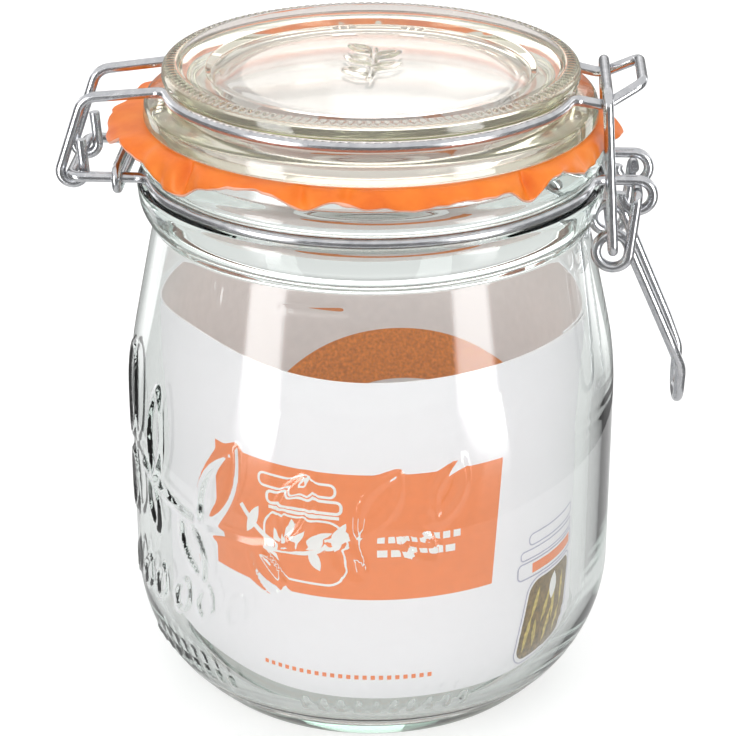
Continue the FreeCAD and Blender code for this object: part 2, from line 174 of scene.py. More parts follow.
def glass_material(name, tint, wave_scale, haze_and_painted_seal_glow=None):
    """Clear pressed glass with a tint where it is thick, and soft waves.

    Where a haze colour is given, the glass gets a faint rough haze, as on worn glass, and the haze
    colour's pink is a painted reflection of the orange seal's light.
    """
    m = material_nodes(name)
    waves = m.noise(wave_scale, 1.5, (1.0, 1.0, 0.45))
    body = m.add("BsdfPrincipled", {
        "Base Color": haze_and_painted_seal_glow or grey(1.0),
        "Roughness": VEIL_ROUGHNESS if haze_and_painted_seal_glow else 0.0,
        "IOR": 1.5,
        "Transmission Weight": 1.0 - HAZE_AND_GLOW_SHARE if haze_and_painted_seal_glow else 1.0,
        "Normal": m.bump(waves, 0.10, WAVE_DEPTH),
    })
    clear = m.add("BsdfTransparent", {"Color": (0.975, 0.985, 0.98, 1.0)})
    shadow = m.add("LightPath").outputs["Is Shadow Ray"]
    mix = m.add("MixShader", {0: shadow, 1: body.outputs[0], 2: clear.outputs[0]})
    absorb = m.add("VolumeAbsorption", {"Color": tint, "Density": TINT_DENSITY})
    return m.finish(mix.outputs[0], absorb.outputs[0])


def rubber_material():
    """Orange natural rubber: satin, with random mottle, its darker blotches deepened as painted
    shade for the shade in its folds.
    """
    m = material_nodes("seal_rubber_looks")
    mottle = m.noise(60.0, 5.0, roughness=0.62)
    # the darker orange is painted shade, laid at random, for the shade in the seal's folds
    colour = m.ramp(mottle, [(0.34, (0.74, 0.130, 0.008, 1.0)),
                             (0.50, (0.84, 0.190, 0.014, 1.0)),
                             (0.68, (0.90, 0.245, 0.022, 1.0))])
    fine = m.noise(1500.0, 3.0)
    body = m.add("BsdfPrincipled", {
        "Base Color": colour,
        "Roughness": 0.45,
        "Subsurface Weight": 0.08,
        "Subsurface Radius": (0.004, 0.0015, 0.0006),
        "Normal": m.bump(fine, 0.25, 0.00008),
    })
    return m.finish(body.outputs[0])


def wire_material():
    """Bright zinc-plated drawn wire, with fine mottle and drawing marks."""
    m = material_nodes("zinc_wire_looks")
    mottle = m.noise(420.0, 3.0)
    colour = m.ramp(mottle, [(0.35, (0.52, 0.53, 0.55, 1.0)), (0.70, (0.64, 0.64, 0.66, 1.0))])
    rough = m.add("MapRange", {"Value": m.noise(300.0, 2.0), "To Min": 0.16, "To Max": 0.28})
    body = m.add("BsdfPrincipled", {
        "Base Color": colour,
        "Metallic": 1.0,
        "Roughness": rough.outputs[0],
        "Normal": m.bump(m.noise(1900.0, 2.0), 0.08, 0.00003),
    })
    return m.finish(body.outputs[0])


def card_material(name, colour, spread, gloss=0.45, grain=500.0):
    """Coated card or ink on it: an even colour, mottled by its spread."""
    m = material_nodes(name)
    mottle = m.noise(grain, 4.0)
    low = tuple(c * (1.0 - spread) for c in colour) + (1.0,)
    high = tuple(min(1.0, c * (1.0 + spread)) for c in colour) + (1.0,)
    body = m.add("BsdfPrincipled", {
        "Base Color": m.ramp(mottle, [(0.3, low), (0.7, high)]),
        "Roughness": gloss,
        "Normal": m.bump(m.noise(2400.0, 2.0), 0.15, 0.00003),
    })
    return m.finish(body.outputs[0])


JAR_GLASS = glass_material("jar_glass_looks", (0.64, 0.79, 0.72, 1.0), 28.0)
# the lid's pinkish haze colour is a painted reflection of the orange seal's light
LID_GLASS = glass_material("lid_glass_looks", (0.64, 0.70, 0.44, 1.0), 34.0,
                           haze_and_painted_seal_glow=(0.94, 0.875, 0.86, 1.0))
RUBBER = rubber_material()
RUBBER_EDGE = card_material("seal_edge_looks", (0.93, 0.47, 0.33), 0.04)
WIRE = wire_material()
CARD = card_material("card_looks", (0.94, 0.905, 0.935), 0.012)
LINING = card_material("card_lining_looks", (0.92, 0.85, 0.845), 0.03)
ORANGE_INK = card_material("orange_ink_looks", (0.94, 0.265, 0.088), 0.03)
WHITE_INK = card_material("white_ink_looks", (0.93, 0.90, 0.89), 0.015)
GRAIN_INK = card_material("grainy_ink_looks", (0.88, 0.25, 0.033), 0.28, grain=1300.0)
BROWN_INK = card_material("brown_ink_looks", (0.20, 0.125, 0.040), 0.50, grain=900.0)
YELLOW_INK = card_material("yellow_ink_looks", (0.60, 0.46, 0.13), 0.35, grain=900.0)
LILAC_INK = card_material("lilac_ink_looks", (0.50, 0.47, 0.60), 0.10)


# ================================================================ mesh helpers
def wrapped(turns, radius, height):
    """Places at angles, radii and heights round the jar's axis."""
    angle = np.radians(turns)
    place = np.broadcast_arrays(radius * np.cos(angle), radius * np.sin(angle), height)
    return np.stack(place, -1)


def swell(turns, middle, width):
    """Soft bump round the axis: 1 at its middle, almost gone two widths away."""
    away = (turns - middle + 180.0) % 360.0 - 180.0
    return np.exp(-(away / width) ** 2)


def eased(x):
    """Smooth step from 0 at x = 0 to 1 at x = 1."""
    x = np.clip(x, 0.0, 1.0)
    return x * x * (3.0 - 2.0 * x)


def between(x, low, rise, high, fall):
    """1 between low and high, with soft ends inside them, rise and fall wide."""
    return eased((x - low) / rise) * eased((high - x) / fall)


def grid_faces(rows, columns, wrap):
    """Quads between rows of points; wrap joins each row's last point to its first."""
    return [(i * columns + j, i * columns + (j + 1) % columns,
             (i + 1) * columns + (j + 1) % columns, (i + 1) * columns + j)
            for i in range(rows - 1) for j in range(columns if wrap else columns - 1)]


def plain_object(name, vertices, faces, material):
    mesh = bpy.data.meshes.new(name)
    mesh.from_pydata([tuple(v) for v in vertices], [], [tuple(f) for f in faces])
    mesh.materials.append(material)
    obj = bpy.data.objects.new(name, mesh)
    scene.collection.objects.link(obj)
    return obj


def mesh_object(name, vertices, faces, material, body):
    """Smooth-shaded piece that rides on a body."""
    obj = plain_object(name, vertices, faces, material)
    obj.data.validate()
    obj.data.shade_smooth()
    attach(obj, body)
    return obj


def second_material(obj, material, chosen):
    """Gives another material to the faces whose entry in chosen is true."""
    obj.data.materials.append(material)
    obj.data.polygons.foreach_set("material_index", np.array(chosen, dtype=np.int32))


def sharp_edges(obj):
    """Keeps corners over 40 degrees crisp on a smooth-shaded mesh."""
    obj.data.set_sharp_from_angle(angle=math.radians(40.0))


# ================================================================ turned glass
ON_AXIS = 1e-6
ON_PLANE = 1e-7
DIGITS = 7                                  # of a place, when two ends are matched


def half_section(node):
    """A turned CAD node's outline in the half plane at angle 0, as edges.

    The key is an edge's two ends in (radius, height), and the value holds the
    surface's normal at each end.
    """
    mesh = nodes[node].data
    place = [v.co for v in mesh.vertices]
    flat = [abs(p.y) < ON_PLANE and p.x > -ON_PLANE for p in place]
    normals = mesh.corner_normals
    edges = {}
    for polygon in mesh.polygons:
        loops = list(polygon.loop_indices)
        for i, j in zip(loops, loops[1:] + loops[:1]):
            a = mesh.loops[i].vertex_index
            b = mesh.loops[j].vertex_index
            if not (flat[a] and flat[b]):
                continue
            start = (round(place[a].x, DIGITS), round(place[a].z, DIGITS))
            end = (round(place[b].x, DIGITS), round(place[b].z, DIGITS))
            if start == end:
                continue
            n0, n1 = normals[i].vector, normals[j].vector
            edges.setdefault(frozenset((start, end)),
                             {start: (n0.x, n0.z), end: (n1.x, n1.z)})
    return edges


def close_flats(edges):
    """Adds the outline's level runs: a flat ring or disc has no edge at angle 0."""
    uses = {}
    for key in edges:
        for point in key:
            uses[point] = uses.get(point, 0) + 1
    levels = {}
    for point, count in uses.items():
        if count == 1 and point[0] > ON_AXIS:
            levels.setdefault(round(point[1], 6), []).append(point)
    for level, ends in levels.items():
        if len(ends) == 1:
            ends.append((0.0, ends[0][1]))
        edges[frozenset(ends)] = None


def ordered_section(node):
    """The outline's edges as (start, its normal, end, its normal).

    They run from the foot of the axis, out and round to the top of the axis.
    """
    edges = half_section(node)
    close_flats(edges)
    at = {}
    for key in edges:
        for point in key:
            at.setdefault(point, []).append(key)
    here = min((p for p in at if p[0] < ON_AXIS), key=lambda p: p[1])
    done = set()
    run = []
    while True:
        ways = [k for k in at[here] if k not in done]
        if not ways:
            return run
        done.add(ways[0])
        there = next(p for p in ways[0] if p != here)
        start, end = np.array(here), np.array(there)
        across = end - start
        outward = np.array([across[1], -across[0]]) / np.linalg.norm(across)
        ends = edges[ways[0]] or {here: outward, there: outward}
        run.append((start, np.array(ends[here]), end, np.array(ends[there])))
        here = there


def resampled(run, step):
    """Points and normals along the outline, step(point) apart, on its true curve."""
    points, normals = [], []
    for p0, n0, p1, n1 in run:
        chord = p1 - p0
        length = np.linalg.norm(chord)
        count = max(1, math.ceil(length / step((p0 + p1) / 2.0)))
        ends = []
        for n in (n0, n1):
            t = np.array([-n[1], n[0]])
            t = t if t @ chord > 0 else -t
            ends.append(t / (np.linalg.norm(t) or 1.0) * length)
        for i in range(count):
            s = i / count
            # a cubic that leaves both ends along the surface
            point = ((2 * s ** 3 - 3 * s ** 2 + 1) * p0 + (s ** 3 - 2 * s ** 2 + s) * ends[0]
                     + (3 * s ** 2 - 2 * s ** 3) * p1 + (s ** 3 - s ** 2) * ends[1])
            normal = n0 * (1 - s) + n1 * s
            points.append(point)
            normals.append(normal / (np.linalg.norm(normal) or 1.0))
    points.append(run[-1][2])
    normals.append(run[-1][3])
    return thinned(np.array(points), np.array(normals), step)


LEAST_GAP = 0.8                             # share of the step
LEAST_BEND = math.cos(math.radians(10.0))


def thinned(points, normals, step):
    """The outline without the points that stand closer than its bends need."""
    keep = [0]
    for i in range(1, len(points) - 1):
        gap = np.linalg.norm(points[i] - points[keep[-1]])
        bend = normals[i] @ normals[keep[-1]]
        if gap > LEAST_GAP * step(points[i]) or bend < LEAST_BEND:
            keep.append(i)
    keep.append(len(points) - 1)
    return points[keep], normals[keep]


def turned(name, node, body, material, turns, step, relief):
    """Replaces a turned CAD node by the same form with fine relief on it."""
    points, normals = resampled(ordered_section(node), step)
    radius, height = points[1:-1].T[:, :, None]
    across, upward = normals[1:-1].T[:, :, None]
    lift = relief(turns[None, :], radius, height, across, upward)
    grid = wrapped(turns, radius + lift * across, height + lift * upward)
    ends = [[0, 0, points[0][1]], [0, 0, points[-1][1]]]
    vertices = np.concatenate([grid.reshape(-1, 3), ends])
    rows, columns = len(radius), len(turns)
    faces = grid_faces(rows, columns, True)
    foot, top = rows * columns, rows * columns + 1
    last = (rows - 1) * columns
    for j in range(columns):
        k = (j + 1) % columns
        faces += [(foot, k, j), (top, last + j, last + k)]
    obj = mesh_object(name, vertices, faces, material, body)
    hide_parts(node)


# ================================================================ relief on the glass
def stroke_lift(across, along, strokes):
    """Height of rounded raised strokes over points of a flat map, all in mm.

    A stroke is (points, half width, height) with points as (across, along).
    """
    lift = np.zeros(np.broadcast(across, along).shape)
    for points, half, tall in strokes:
        points = np.array(points)
        low = points.min(axis=0) - half
        high = points.max(axis=0) + half
        near = ((across > low[0]) & (across < high[0])
                & (along > low[1]) & (along < high[1]))
        if not near.any():
            continue
        x = np.broadcast_to(across, lift.shape)[near]
        y = np.broadcast_to(along, lift.shape)[near]
        gap = np.full(x.shape, 1e9)
        for (x0, y0), (x1, y1) in zip(points[:-1], points[1:]):
            dx, dy = x1 - x0, y1 - y0
            long = max(dx * dx + dy * dy, 1e-9)
            t = np.clip(((x - x0) * dx + (y - y0) * dy) / long, 0.0, 1.0)
            gap = np.minimum(gap, np.hypot(x - x0 - t * dx, y - y0 - t * dy))
        rise = tall * eased((half - gap) / (0.75 * half))
        lift[near] = np.maximum(lift[near], rise)
    return lift


CURVE_POINTS = 10


def curved(start, bow, end):
    """Points of a curve from start to end, drawn towards the point bow."""
    t = np.linspace(0.0, 1.0, CURVE_POINTS)[:, None]
    start, bow, end = np.array(start), np.array(bow), np.array(end)
    return (1 - t) ** 2 * start + 2 * t * (1 - t) * bow + t ** 2 * end


def loop_leaf(foot, lean, length, width):
    """Outline of a pointed leaf that starts at its foot and leans by an angle."""
    way = np.array([math.cos(math.radians(lean)), math.sin(math.radians(lean))])
    side = np.array([-way[1], way[0]]) * width
    tip = np.array(foot) + way * length
    middle = np.array(foot) + way * length * 0.5
    out = curved(foot, middle + side, tip)
    back = curved(tip, middle - side, foot)
    return np.concatenate([out, back])


def sprig_strokes():
    """A plain leafy sprig round the front of the barrel.

    Its points are in mm: along the barrel's girth from the clip, and up.
    """
    def stem_height(x):
        return 57.0 + 4.0 * math.sin(x / 15.0)

    strokes = []
    stem = [(x, stem_height(x)) for x in np.linspace(-150.0, -70.0, 36)]
    strokes += [(stem[:22], 1.3, 0.50), (stem[21:], 1.1, 0.30)]
    for x, z, wide, tall in ((-161.0, 73.0, 6.0, 11.0), (-159.5, 51.0, 4.5, 7.0)):
        turns = np.radians(np.linspace(0.0, 360.0, 33))
        strokes.append((list(zip(x + wide * np.cos(turns), z + tall * np.sin(turns))), 1.35, 0.60))
    upper = ((-144.0, 84.0, 23.0, 6.0), (-126.0, 64.0, 24.0, 7.5),
             (-104.0, 72.0, 18.0, 6.5), (-87.0, 60.0, 17.0, 6.5), (-70.0, 70.0, 15.0, 6.0))
    for x, lean, length, width in upper:
        strokes.append((loop_leaf((x, stem_height(x)), lean, length, width), 1.35, 0.60))
    lower = ((-146.0, -76.0, 13.0, 4.5), (-132.0, -66.0, 16.0, 6.0),
             (-112.0, -55.0, 14.0, 5.5), (-94.0, -50.0, 13.0, 5.5), (-78.0, -48.0, 12.0, 5.0))
    for x, lean, length, width in lower:
        strokes.append((loop_leaf((x, stem_height(x)), lean, length, width), 1.15, 0.50))
    for i, x in enumerate(np.linspace(-160.0, -118.0, 6)):
        foot = (x, 27.0 + 0.10 * (x + 156.0))
        strokes.append((loop_leaf(foot, 74.0 - 8.0 * (i % 2), 9.5, 4.6), 0.8, 0.42))
    return strokes


SET_BACK = 0.6                              # mm, as much as the sprig's height


def jar_relief():
    """Raised sprig, fill line and heel ticks on the outside of the jar."""
    strokes = sprig_strokes()
    strokes += [([(-106.0, 107.4), (-91.0, 107.4)], 0.9, 0.35),
                ([(-126.0, 107.0), (-126.0, 109.5)], 0.5, 0.3),
                ([(-123.5, 104.8), (-123.5, 108.5)], 0.5, 0.3)]
    for x in list(np.linspace(-152.0, -120.0, 9)) + list(np.linspace(-100.0, -62.0, 10)):
        strokes.append(([(x, 13.4), (x, 15.6)], 0.75, 0.35))

    def relief(turns, radius, height, across, upward):
        level = height / MM
        front = np.where(turns > 180.0, turns - 360.0, turns)
        lift = stroke_lift(np.radians(front) * GIRTH / MM, level, strokes)
        # the wall steps back under the sprig, so that the sprig stays inside the jar's girth
        side = np.where(front > 90.0, front - 360.0, front)
        back = (SET_BACK * between(side, -215.0, 40.0, -5.0, 40.0)
                * between(level, 8.0, 18.0, 114.0, 36.0))
        outside = (across > 0.15) & (level > 9.0)
        return np.where(outside, (lift - back) * MM, 0.0)
    return relief


def jar_step(point):
    """Row spacing: fine on the barrel and the neck, coarse inside."""
    radius, level = point / MM
    if radius > 0.858 * GIRTH / MM and 10.0 < level < 111.0:
        return 0.8 * MM
    if radius > 46.0 and level > 110.0:
        return 0.9 * MM
    return 3.5 * MM


TICKS = 150
TICK_DEPTH = 0.42 * MM


def lid_relief(turns, radius, height, across, upward):
    """Ring of short ticks cut in the rim's top edge, and a small sprig at the centre."""
    angle = np.radians(turns)
    drop = (RIM_TOP - height) / MM
    reach = radius / MM
    on_top = (upward > 0.3) & (drop < 1.4)
    band = between(reach, 42.6, 0.5, 44.7, 0.5)
    ticks = TICK_DEPTH * band * (eased(0.5 + 1.4 * np.cos(angle * TICKS)) - 1.0)
    sprig = [([(0.0, -7.5), (0.4, 0.0), (0.0, 14.0)], 0.9, 0.45)]
    for i in range(5):
        side = 1.0 if i % 2 else -1.0
        foot = (0.0, -5.0 + 4.2 * i)
        sprig.append((loop_leaf(foot, 90.0 - side * 48.0, 7.2, 3.2), 0.75, 0.45))
    for turn in (72.0, 75.5, 79.0, 101.0, 104.5, 108.0):
        x0 = 31.4 * math.cos(math.radians(turn))
        y0 = 31.4 * math.sin(math.radians(turn))
        sprig.append(([(x0 - 0.4, y0), (x0 + 0.4, y0)], 0.8, 0.35))
    centre = (upward > 0.9) & (reach < 33.5) & (drop < 4.0)
    emblem = stroke_lift(reach * np.cos(angle), reach * np.sin(angle), sprig) * MM
    return np.where(on_top, ticks, 0.0) + np.where(centre, emblem, 0.0)


def lid_step(point):
    """Row spacing: fine under the ticks and the sprig."""
    if point[1] > RIM_TOP - 1.4 * MM and point[0] > 42.2 * MM:
        return 0.35 * MM
    if point[1] > RIM_TOP - 3.0 * MM and point[0] < 34.0 * MM:
        return 0.8 * MM
    return 1.6 * MM


# the jar's columns stand closer round the front, where the sprig is
JAR_TURNS = np.concatenate([np.linspace(-176.0, -42.0, 206, endpoint=False),
                            np.linspace(-42.0, 184.0, 142, endpoint=False)])
LID_TURNS = np.linspace(0.0, 360.0, 750, endpoint=False)
turned("jar_glass", "jar_body", "jar", JAR_GLASS, JAR_TURNS, jar_step, jar_relief())
turned("lid_disc", "lid_glass", "lid", LID_GLASS, LID_TURNS, lid_step, lid_relief)


# ================================================================ seal
EDGE_STEP = 3                               # degrees between the CAD ring's sections
SEAL_COLUMNS = 900
SEAL_STEPS = 14
THICK_ROOT = 1.5 * MM
THICK_EDGE = 1.0 * MM
EDGE_ROUND = 0.35 * MM
TOP_GAP = 0.2 * MM                          # below the CAD ring's top
SKIRT_GAP = 0.2 * MM                        # from the lid's skirt to where the folds start
# (height, waves round the ring, phase)
RIPPLES = ((0.34, 23, 40.0), (0.24, 37, 130.0), (0.15, 61, 20.0), (0.08, 97, 75.0))
# (angle, depth, width)
CREASES = ((-135.5, 2.0, 1.9), (-103.5, 1.5, 1.6), (-92.5, 1.7, 1.6), (-48.5, 2.0, 1.7),
           (-62.0, 0.6, 2.4), (-120.0, 0.5, 2.4), (-77.0, 0.4, 3.0), (-152.0, 0.9, 2.4),
           (-28.0, 0.8, 2.6), (150.0, 1.0, 2.4), (118.0, 1.1, 2.0), (93.0, 0.9, 2.4),
           (60.0, 1.1, 2.0), (34.0, 0.9, 2.4))
# lobes that hang lower than in the CAD: (angle, share, width)
LOW_LOBES = ((-143.0, 0.28, 14.0), (-106.0, 0.14, 9.0))


def seal_edge_from_cad():
    """Angles, reach and height of the free edge, read from the plain CAD ring."""
    edge = {}
    for v in nodes["seal_ring"].data.vertices:
        x, y, z = v.co
        turn = round(math.degrees(math.atan2(y, x)) / EDGE_STEP) * EDGE_STEP % 360
        radius = math.hypot(x, y)
        if radius > edge.get(turn, (0.0, 0.0))[0]:
            edge[turn] = (radius, z)
    turns = sorted(edge)
    return (np.array(turns, float), np.array([edge[t][0] for t in turns]),
            np.array([edge[t][1] for t in turns]))


def smooth_round(turns, values, at):
    """Periodic smooth interpolation between values at angles."""
    full = np.concatenate([turns - 360.0, turns, turns + 360.0])
    wide = np.tile(values, 3)
    near = [np.interp(at + d, full, wide) for d in (-1.2, -0.6, 0.6, 1.2)]
    return (2.0 * np.interp(at, full, wide) + sum(near)) / 6.0


def inner_and_outer(node):
    """Least and greatest distance of a CAD node's points from the jar's axis."""
    reach = [math.hypot(v.co.x, v.co.y) for v in nodes[node].data.vertices]
    return min(reach), max(reach)


def build_seal():
    """The rubber ring: a flat washer whose free edge hangs out in folds."""
    angle = np.linspace(0.0, 360.0, SEAL_COLUMNS, endpoint=False)
    turns, reach, edge_height = seal_edge_from_cad()
    top = HIGH["seal_ring"][2] - TOP_GAP
    inner = inner_and_outer("seal_ring")[0]
    start = inner_and_outer("lid_glass")[1] + SKIRT_GAP
    reach = smooth_round(turns, reach, angle)
    hang = smooth_round(turns, edge_height, angle) - EDGE_ROUND - top
    for middle, share, width in LOW_LOBES:
        hang *= 1.0 + share * swell(angle, middle, width)
    ripple = sum(a * np.sin(np.radians(n * angle + p)) for a, n, p in RIPPLES)
    crease = sum(deep * swell(angle, middle, width) for middle, deep, width in CREASES)
    upper = []
    for t in np.linspace(0.0, 1.0, SEAL_STEPS + 1):
        run = 1.0 - (1.0 - t) ** 1.45
        fall = t ** 1.75
        fold = ripple * t ** 1.3 - 1.2 * crease * math.sin(math.pi * min(1.0, 0.15 + 0.75 * t))
        sink = 0.45 * crease * math.sin(math.pi * t) + 0.2 * ripple * t
        upper.append((start + (reach - start) * run + 0.8 * fold * MM,
                      top + hang * fall - sink * MM))
    upper = np.array(upper)
    tangent = np.gradient(upper, axis=0)
    size = np.hypot(tangent[:, 0], tangent[:, 1])
    normal = np.stack([-tangent[:, 1] / size, tangent[:, 0] / size], 1)
    lower = upper - normal * np.linspace(THICK_ROOT, THICK_EDGE, SEAL_STEPS + 1)[:, None, None]
    edge = (upper[-1] + lower[-1]) / 2.0 + tangent[-1] / size[-1] * EDGE_ROUND
    half_way = 0.5 * (inner + start)
    washer = [np.tile([[r], [z]], SEAL_COLUMNS)
              for r, z in ((inner, top - THICK_ROOT), (inner, top), (half_way, top),
                           (half_way, top - THICK_ROOT))]
    ring = np.array(washer[:3] + list(upper) + [edge] + list(lower[::-1]) + washer[3:])
    rows = len(ring)
    place = wrapped(angle, ring[:, 0], ring[:, 1]).reshape(-1, 3)
    edge_row = 3 + SEAL_STEPS
    faces, pale = [], []
    for i in range(rows):
        n = (i + 1) % rows
        for j in range(SEAL_COLUMNS):
            k = (j + 1) % SEAL_COLUMNS
            faces.append((i * SEAL_COLUMNS + j, n * SEAL_COLUMNS + j,
                          n * SEAL_COLUMNS + k, i * SEAL_COLUMNS + k))
            pale.append(i in (edge_row, edge_row + 1))
    obj = mesh_object("seal", place, faces, RUBBER, "lid")
    second_material(obj, RUBBER_EDGE, pale)
    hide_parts("seal_ring")


build_seal()


# ================================================================ leaflet
CARD_OUTER = card_high[0]
CARD_THICKNESS = 0.4 * MM
CARD_SEAM = -29.0                           # the inner end of the sheet
CARD_TURN = 376.0                           # once round and the overlap
CARD_ROWS, CARD_COLUMNS = 26, 280
CARD_PLAY = 0.25 * MM                       # inside the CAD card
CARD_SLACK = 3.2 * MM
EDGE_DIP = 2.2 * MM
EDGE_RISE = 1.6 * MM


def card_radius(turns):
    """Outer radius of the rolled card, slack inside the glass on the left."""
    return CARD_OUTER - CARD_PLAY - CARD_SLACK * swell(turns, -142.0, 30.0)


def card_top(turns):
    """Height of the card's upper edge, lowest at the front and highest at its slack."""
    front = np.radians(turns + 90.0)
    return (card_high[2] + EDGE_DIP * np.abs(np.sin(front)) ** 1.5
            + EDGE_RISE * swell(turns, -140.0, 28.0))


def build_card():
    """The leaflet: a card rolled into a tube whose ends overlap at the seam."""
    rows, count = CARD_ROWS, CARD_COLUMNS
    turns = np.linspace(CARD_SEAM, CARD_SEAM + CARD_TURN, count)
    # the sheet's first end runs inside its last one
    step_in = 1.5 * CARD_THICKNESS * eased((CARD_SEAM + 44.0 - turns) / 26.0)
    outer = card_radius(turns) - step_in
    bottom = card_low[2] + 0.2 * MM
    rise = (card_top(turns) - bottom) / (rows - 1)
    place = np.concatenate([wrapped(turns, skin, bottom + rise * i)
                            for skin in (outer, outer - CARD_THICKNESS) for i in range(rows)])
    back = rows * count
    faces = []
    for quad in grid_faces(rows, count, False):
        faces += [quad, tuple(back + q for q in reversed(quad))]
    lined = [0, 1] * (len(faces) // 2)
    last = (rows - 1) * count
    for j in range(count - 1):
        faces += [(j + 1, j, back + j, back + j + 1),
                  (last + j, last + j + 1, back + last + j + 1, back + last + j)]
    for a in range(0, last, count):
        b = a + count
        faces += [(a, b, back + b, back + a),
                  (b + count - 1, a + count - 1, back + a + count - 1, back + b + count - 1)]
    lined += [0] * (len(faces) - len(lined))
    obj = mesh_object("leaflet_card", place, faces, CARD, "jar")
    second_material(obj, LINING, lined)
    sharp_edges(obj)
    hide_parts("leaflet")


# ================================================================ print
# Flat shapes are (points, faces), with points in (degrees, height in mm) on the card.
DEGREE_MM = math.radians(1.0) * CARD_OUTER / MM
FILM = 0.02 * MM
# how far each layer's face stands off the card
FIRST_INK, SECOND_INK, LINE_INK, LAST_INK = 0.05 * MM, 0.07 * MM, 0.08 * MM, 0.09 * MM
BLOB_RINGS = 6
ARC_STEPS = 60
WRAP_REACH = 2.0                            # longest run of an outline that wraps well


def panel(left, right, low, high, columns=40, lean=0.0):
    """Upright panel in columns; lean moves the foot of its right edge, in degrees."""
    points = [(t, z) for z, end in ((low, right + lean), (high, right))
              for t in np.linspace(left, end, columns + 1)]
    quads = [(i, i + 1, i + columns + 2, i + columns + 1) for i in range(columns)]
    return points, quads


def denser(points, closed=False):
    """The same line with more points, so that it can wrap."""
    points = [tuple(p) for p in points]
    ahead = points[1:] + points[:1] if closed else points[1:]
    line = []
    for (x0, y0), (x1, y1) in zip(points, ahead):
        count = max(1, math.ceil(math.hypot(x1 - x0, y1 - y0) / WRAP_REACH))
        line += [(x0 + (x1 - x0) * i / count, y0 + (y1 - y0) * i / count)
                 for i in range(count)]
    return line if closed else line + points[-1:]


def ribbon(points, width, closed=False):
    """Line of constant width in mm."""
    flat = np.array([(t * DEGREE_MM, z) for t, z in denser(points, closed)])
    if closed:
        ahead, behind = np.roll(flat, -1, 0), np.roll(flat, 1, 0)
    else:
        ahead = np.concatenate([flat[1:], flat[-1:]])
        behind = np.concatenate([flat[:1], flat[:-1]])
    way = ahead - behind
    way = way / np.linalg.norm(way, axis=1)[:, None]
    side = np.stack([-way[:, 1], way[:, 0]], 1) * width / 2.0
    ring = np.concatenate([flat - side, flat + side])
    count = len(flat)
    quads = []
    for i in range(count if closed else count - 1):
        k = (i + 1) % count
        quads.append((i, k, count + k, count + i))
    return [(x / DEGREE_MM, z) for x, z in ring], quads


def blob(centre, outline):
    """Filled shape, star-shaped about its centre, in rings so that it can wrap."""
    middle = np.array(centre)
    outline = denser(outline, True)
    points = [tuple(middle)]
    for ring in range(1, BLOB_RINGS + 1):
        points += [tuple(middle + (np.array(p) - middle) * ring / BLOB_RINGS) for p in outline]
    count = len(outline)
    faces = [(0, 1 + i, 1 + (i + 1) % count) for i in range(count)]
    for ring in range(BLOB_RINGS - 1):
        a, b = 1 + ring * count, 1 + (ring + 1) * count
        faces += [(a + i, b + i, b + (i + 1) % count, a + (i + 1) % count) for i in range(count)]
    return points, faces


def half_ring(centre, outer, inner):
    """Upper half of an oval ring; sizes are (degrees, mm)."""
    points = []
    for reach in (inner, outer):
        for i in range(ARC_STEPS + 1):
            a = math.pi * i / ARC_STEPS
            points.append((centre[0] + reach[0] * math.cos(a),
                           centre[1] + reach[1] * math.sin(a)))
    quads = [(i + 1, i, ARC_STEPS + 1 + i, ARC_STEPS + 2 + i) for i in range(ARC_STEPS)]
    return points, quads


def printed(name, shapes, material, lift, inside=False):
    """Thin closed film of ink, wrapped on the card's outer or inner face."""
    place, faces = [], []
    for points, flats in shapes:
        turns, heights = np.array(points).T
        if inside:
            face = card_radius(turns) - CARD_THICKNESS - lift
            skins = (face, face + FILM)
        else:
            face = card_radius(turns) + lift
            skins = (face, face - FILM)
        start = len(place)
        for skin in skins:
            place += list(wrapped(turns, skin, heights * MM))
        count = len(points)
        sides = {}
        for flat in flats:
            flat = tuple(reversed(flat)) if inside else flat
            faces.append(tuple(start + v for v in flat))
            faces.append(tuple(start + count + v for v in reversed(flat)))
            sides.update(dict.fromkeys(zip(flat, flat[1:] + flat[:1])))
        for a, b in sides:
            if (b, a) not in sides:
                faces.append((start + b, start + a, start + count + a, start + count + b))
    obj = mesh_object(name, place, faces, material, "jar")
    sharp_edges(obj)


def rounded_box(left, right, low, high, round_mm, count=8):
    """Outline of a box with round corners."""
    reach = round_mm / DEGREE_MM
    corners = ((right - reach, low + round_mm, -90.0), (right - reach, high - round_mm, 0.0),
               (left + reach, high - round_mm, 90.0), (left + reach, low + round_mm, 180.0))
    outline = []
    for x, z, begin in corners:
        for i in range(count + 1):
            a = math.radians(begin + 90.0 * i / count)
            outline.append((x + reach * math.cos(a), z + round_mm * math.sin(a)))
    return outline


def leaf_blob(foot, lean, length, width):
    """Filled leaf."""
    outline = loop_leaf(foot, lean, length, width)
    # each half's last point is the other half's first
    once = [tuple(p) for p in outline[:CURVE_POINTS - 1]]
    once += [tuple(p) for p in outline[CURVE_POINTS:-1]]
    return blob(outline.mean(axis=0), once)


def leaning(points):
    """The same points, as the small picture leans: sideways with height."""
    return [(x + 0.3 * (z - 26.5), z) for x, z in points]


def dashes(left, right, height, dash, gap, width):
    """Row of short level bars."""
    pitch = dash + gap
    return [ribbon([(left + i * pitch + dash * t, height) for t in (0.0, 0.5, 1.0)], width)
            for i in range(int((right - left + gap) / pitch))]


